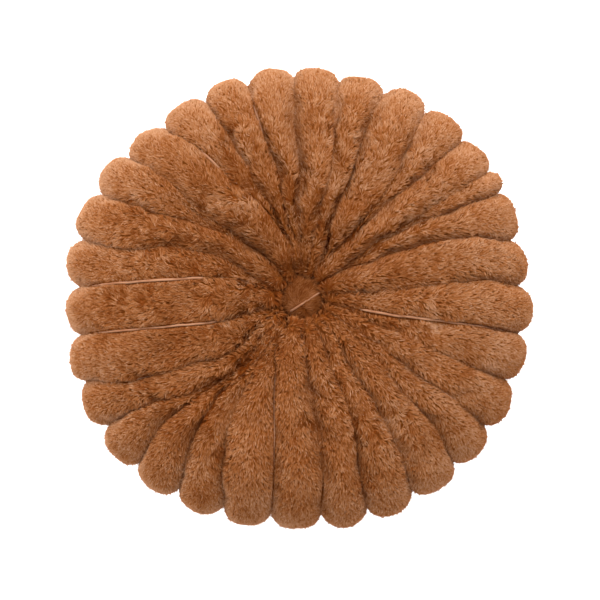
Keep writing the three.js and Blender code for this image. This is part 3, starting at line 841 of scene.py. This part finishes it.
def seam_line(seam, spot):
    """The seam's line on the cloth in metres where it is parted, and how open it is at each point."""
    shares = np.linspace(0, RIM_SHARE, PATH_POINTS)
    reach = seam_path(shares)[:, 0]
    count = int((spot.far - spot.near) / THREAD_STEP)
    marks = np.linspace(spot.near, spot.far, count)
    shares = np.interp(marks, reach, shares)
    i, across = np.full(count, seam), np.zeros(count)
    points = cover_point(i, across, shares, FULLNESS, SKIN_DEPTH, GROOVE) + np.array(HUB)
    opened = parting(i, marks) / spot.show
    points[:, 2] += THREAD_PROUD - THREAD_SUNK * (1 - opened)
    for axis, lane in enumerate(THREAD_LANES):
        wander = np.array([noise.noise(Vector((mark / THREAD_WAVE, seam, lane))) for mark in marks])
        points[:, axis] += wander * THREAD_WANDER
    return points * MM, opened


def add_strand(bm, points, radii, sides):
    """A closed round strand along points in metres."""
    rings = []
    runs = np.gradient(points, axis=0)
    quarter_back = Matrix.Rotation(-math.pi / 2, 4, "Z")
    for k, (point, run, radius) in enumerate(zip(points, runs, radii)):
        turn = Vector(run).to_track_quat("Z", "Y").to_matrix().to_4x4()
        place = Matrix.Translation(point) @ turn @ quarter_back
        at_end = k in (0, len(points) - 1)
        ring = bmesh.ops.create_circle(bm, cap_ends=at_end, segments=sides, radius=radius, matrix=place)
        rings.append(list(dict.fromkeys(edge for vert in ring["verts"] for edge in vert.link_edges)))
    for ring, after in zip(rings, rings[1:]):
        bmesh.ops.bridge_loops(bm, edges=ring + after)
    bmesh.ops.recalc_face_normals(bm, faces=bm.faces)


def thread_material():
    material, shader, place = new_material("seam_thread", THREAD_ROUGHNESS)
    twisted = {"Vector": place, "Scale": TWIST_SCALE, "Detail": TWIST_DETAIL}
    twist = place.add("ShaderNodeTexNoise", inputs=twisted)
    stops = list(zip(THREAD_SHADES, (THREAD_BROWN, THREAD_PALE)))
    colour = place.add("ShaderNodeValToRGB", {"stops": stops}, {"Fac": twist})
    place.tree.links.new(colour.socket, shader.inputs["Base Color"])
    return material


bm = bmesh.new()
for seam, spot in PARTINGS.items():
    points, opened = seam_line(seam, spot)
    thickness = spot.show * (THREAD_END + (1 - THREAD_END) * opened)
    add_strand(bm, points, THREAD_RADIUS * MM * thickness, THREAD_SIDES)
thread_mesh = bpy.data.meshes.new("seam_threads")
bm.to_mesh(thread_mesh)
bm.free()
thread_mesh.shade_smooth()
threads = new_object("seam_threads", thread_mesh)
threads.data.materials.append(thread_material())
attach(threads, "root")

# The buttons
# A button covered in the same plush is pulled down into the hub of each face by a thread through the cushion.
# The front one is lapped by the channels' noses. The back one isn't seen in the photo and is made the same.
# Their pile is darker than the channels', as painted shade of the hubs that they sit in.

# painted shade: the buttons' pile is darker than the same plush on the channels, for the hub that it sits in
BUTTON_SHADED_DARK = (0.10, 0.022, 0.003)
BUTTON_SHADED_MIDDLE = (0.20, 0.062, 0.016)
BUTTON_SHADED_LIGHT = (0.32, 0.125, 0.05)
BUTTON_UNDER_PILE = 1.6  # mm from the CAD's dome down to the cloth
BUTTON_RING, BUTTON_RINGS = 48, 12  # faces round the dome, and from its top to its foot
BUTTON_SQUARENESS = 0.75  # the power of a sphere's height that the dome's follows
EQUATOR = 1e-4  # of a sphere's radius, within which a point is on its equator
BUTTON_SPLAY = 3.0  # how strongly the pile at the edge turns outwards
BUTTON_LOCKS = 2600
BUTTON_PILE_LENGTH = 8.0  # mm
BUTTON_PILE_LIFT = 3.0  # mm
BUTTON_COMB = math.radians(35)  # the way that the pile lies on a button
BUTTON_SWIRL = Wander(1.2, 10, 5, 1.0)  # of that, in radians
BUTTON_TONES = Wander(0.28, 7, 6, 1.0)  # of the tone
STITCH_ENDS = ((-8.3, -12.0), (24.2, 9.1))  # mm: the pale stitch on the front button
STITCH_POINTS = 30
STITCH_PROUD = 2.7  # mm that it lies above the dome's cloth
STITCH_WAVE = 0.5  # mm that it waves up and down
STITCH_WAVES = 1.5  # from end to end
STITCH_THICKNESS = 0.95  # of a seam thread's radius, at its first end
STITCH_TAPER = 0.4  # how much less at its last


def button_dome(name, low, high, facing):
    """A closed dome in the box of the CAD's button, less the pile. Facing is 1 for up and -1 for down."""
    middle = (low + high) / 2
    radius = (high.x - low.x) / 2 - BUTTON_UNDER_PILE * MM
    base = low.z if facing > 0 else high.z
    rise = high.z - low.z - BUTTON_UNDER_PILE * MM
    bm = bmesh.new()
    bmesh.ops.create_uvsphere(bm, u_segments=BUTTON_RING, v_segments=2 * BUTTON_RINGS, radius=1)
    below = [vert for vert in bm.verts if vert.co.z < -EQUATOR]
    bmesh.ops.delete(bm, geom=below, context="VERTS")
    for vert in bm.verts:
        vert.co.z = max(vert.co.z, 0) ** BUTTON_SQUARENESS
    bmesh.ops.transform(bm, matrix=Matrix.Diagonal((radius, radius, facing * rise, 1)), verts=bm.verts)
    bmesh.ops.translate(bm, vec=(middle.x, middle.y, base), verts=bm.verts)
    rim = [edge for edge in bm.edges if edge.is_boundary]
    bmesh.ops.holes_fill(bm, edges=rim, sides=0)
    bmesh.ops.recalc_face_normals(bm, faces=bm.faces)
    mesh = bpy.data.meshes.new(name)
    bm.to_mesh(mesh)
    bm.free()
    mesh.shade_smooth()
    return mesh


def dome_weight(facing):
    return lambda middles, normals: np.where(normals[:, 2] * facing > FLOOR_FACING, 1.0, 0.0)


shaded_button_pile = pile_material("shaded_button_pile", BUTTON_SHADED_DARK, BUTTON_SHADED_MIDDLE, BUTTON_SHADED_LIGHT)
for node, facing in (("front_button", 1), ("back_button", -1)):
    dome = new_object(f"{node}_cover", button_dome(f"{node}_cover", *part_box(node), facing))
    dome.data.materials.append(cover.data.materials[0])
    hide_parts(node)
    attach(dome, "root")
    place, normal, _, _ = scatter(dome.data, BUTTON_LOCKS, dome_weight(facing), rng)
    heading = BUTTON_COMB + BUTTON_SWIRL.amount * drift(place, BUTTON_SWIRL.size, BUTTON_SWIRL.seed)
    heading += rng.normal(0, STRAY, BUTTON_LOCKS)
    comb = np.stack([np.cos(heading), np.sin(heading), np.zeros(BUTTON_LOCKS)], 1)
    comb += normal * np.array([BUTTON_SPLAY, BUTTON_SPLAY, 0])
    comb = unit(comb - normal * np.sum(comb * normal, axis=1, keepdims=True))
    length = BUTTON_PILE_LENGTH * rng.uniform(*LENGTHS, BUTTON_LOCKS)
    lift = BUTTON_PILE_LIFT * rng.uniform(*LIFTS, BUTTON_LOCKS)
    tone = MIDDLE_TONE + BUTTON_TONES.amount * drift(place, BUTTON_TONES.size, BUTTON_TONES.seed)
    tone += rng.normal(0, LOCK_TONE, BUTTON_LOCKS)
    values = (place, normal, comb, length, lift, tone)
    roots, middles, tips, widths, tones, shading = locks_of_blades(*values, rng)
    for points in (roots, middles, tips):
        points[:, 2] = np.maximum(points[:, 2], FLOOR_CLEARANCE)
    name = f"{node}_pile"
    pile = new_object(name, blade_mesh(name, roots, middles, tips, widths, tones, shading))
    pile.data.materials.append(shaded_button_pile)
    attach(pile, "root")

start, end = (np.array(spot) for spot in STITCH_ENDS)
low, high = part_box("front_button")
middle, radius = np.array((low + high) / 2 / MM), (high.x - low.x) / 2 / MM
along = np.linspace(0, 1, STITCH_POINTS)[:, None]
points = np.pad(start + (end - start) * along, ((0, 0), (0, 1)))
from_middle = np.minimum(np.hypot(points[:, 0] - middle[0], points[:, 1] - middle[1]) / radius, 1)
dome_rise = (high.z - low.z) / MM - BUTTON_UNDER_PILE
points[:, 2] = low.z / MM + dome_rise * (1 - from_middle**2) ** (BUTTON_SQUARENESS / 2) + STITCH_PROUD
points[:, 2] += STITCH_WAVE * np.sin(math.tau * STITCH_WAVES * along[:, 0])
thickness = STITCH_THICKNESS - STITCH_TAPER * along[:, 0]
bm = bmesh.new()
add_strand(bm, points * MM, THREAD_RADIUS * MM * thickness, THREAD_SIDES)
stitch_mesh = bpy.data.meshes.new("button_stitch")
bm.to_mesh(stitch_mesh)
bm.free()
stitch_mesh.shade_smooth()
stitch = new_object("button_stitch", stitch_mesh)
stitch.data.materials.append(threads.data.materials[0])
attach(stitch, "root")

# Floor, light and camera
# The cushion lies on a lit white table, so it casts no shadow there. A wide strong lamp stands behind it, a
# low one on its left lights the rim, and two weak ones fill in from the right and the front. The camera looks
# straight down through a long lens.

FLOOR_SIZE = 6.0  # metres
FLOOR_COLOUR = (0.8, 0.8, 0.8)
FLOOR_ROUGHNESS = 0.9
TABLE_LIGHT = 1.0  # the strength of its own glow
ROOM_LIGHT = 0.5  # the strength of what comes evenly from all sides
WHITE = (1, 1, 1, 1)
CAMERA_HEIGHT = 2.4  # metres
SENSOR_WIDTH = 36  # mm
FRAME_WIDTH = 581.9 * MM  # what the picture spans at the height of the rim
RIM_HEIGHT = 54 * MM
VIEW_CENTRE = (1.0 * MM, -0.97 * MM)

bm = bmesh.new()
bmesh.ops.create_grid(bm, x_segments=1, y_segments=1, size=FLOOR_SIZE / 2)
floor_mesh = bpy.data.meshes.new("floor")
bm.to_mesh(floor_mesh)
bm.free()
floor = new_object("floor", floor_mesh)
floor_material, floor_shader, _ = new_material("floor", FLOOR_ROUGHNESS)
floor_shader.inputs["Base Color"].default_value = (*FLOOR_COLOUR, 1)
floor_shader.inputs["Emission Color"].default_value = WHITE
floor_shader.inputs["Emission Strength"].default_value = TABLE_LIGHT
floor.data.materials.append(floor_material)

Lamp = namedtuple("Lamp", "name place size power")
LAMPS = [  # in metres and watts
    Lamp("back", (0.25, 1.6, 2.0), 2.2, 92),
    Lamp("right", (1.8, 0.8, 1.4), 1.4, 3),
    Lamp("left", (-2.2, 0.25, 0.4), 1.2, 34),
    Lamp("front", (0.1, -1.9, 1.3), 1.4, 8.5),
]
for lamp in LAMPS:
    light = bpy.data.lights.new(lamp.name, "AREA")
    light.size = lamp.size
    light.energy = lamp.power
    source = new_object(lamp.name, light)
    source.location = lamp.place
    source.rotation_euler = (-Vector(lamp.place)).to_track_quat("-Z", "Y").to_euler()

world = bpy.data.worlds.new("studio")
world.use_nodes = True
background = world.node_tree.nodes["Background"]
background.inputs["Color"].default_value = WHITE
background.inputs["Strength"].default_value = ROOM_LIGHT
bpy.context.scene.world = world
bpy.context.scene.view_settings.view_transform = "Standard"

lens = bpy.data.cameras.new("camera")
lens.sensor_width = SENSOR_WIDTH
lens.lens = SENSOR_WIDTH * (CAMERA_HEIGHT - RIM_HEIGHT) / FRAME_WIDTH
camera = new_object("camera", lens)
camera.location = (*VIEW_CENTRE, CAMERA_HEIGHT)
bpy.context.scene.camera = camera
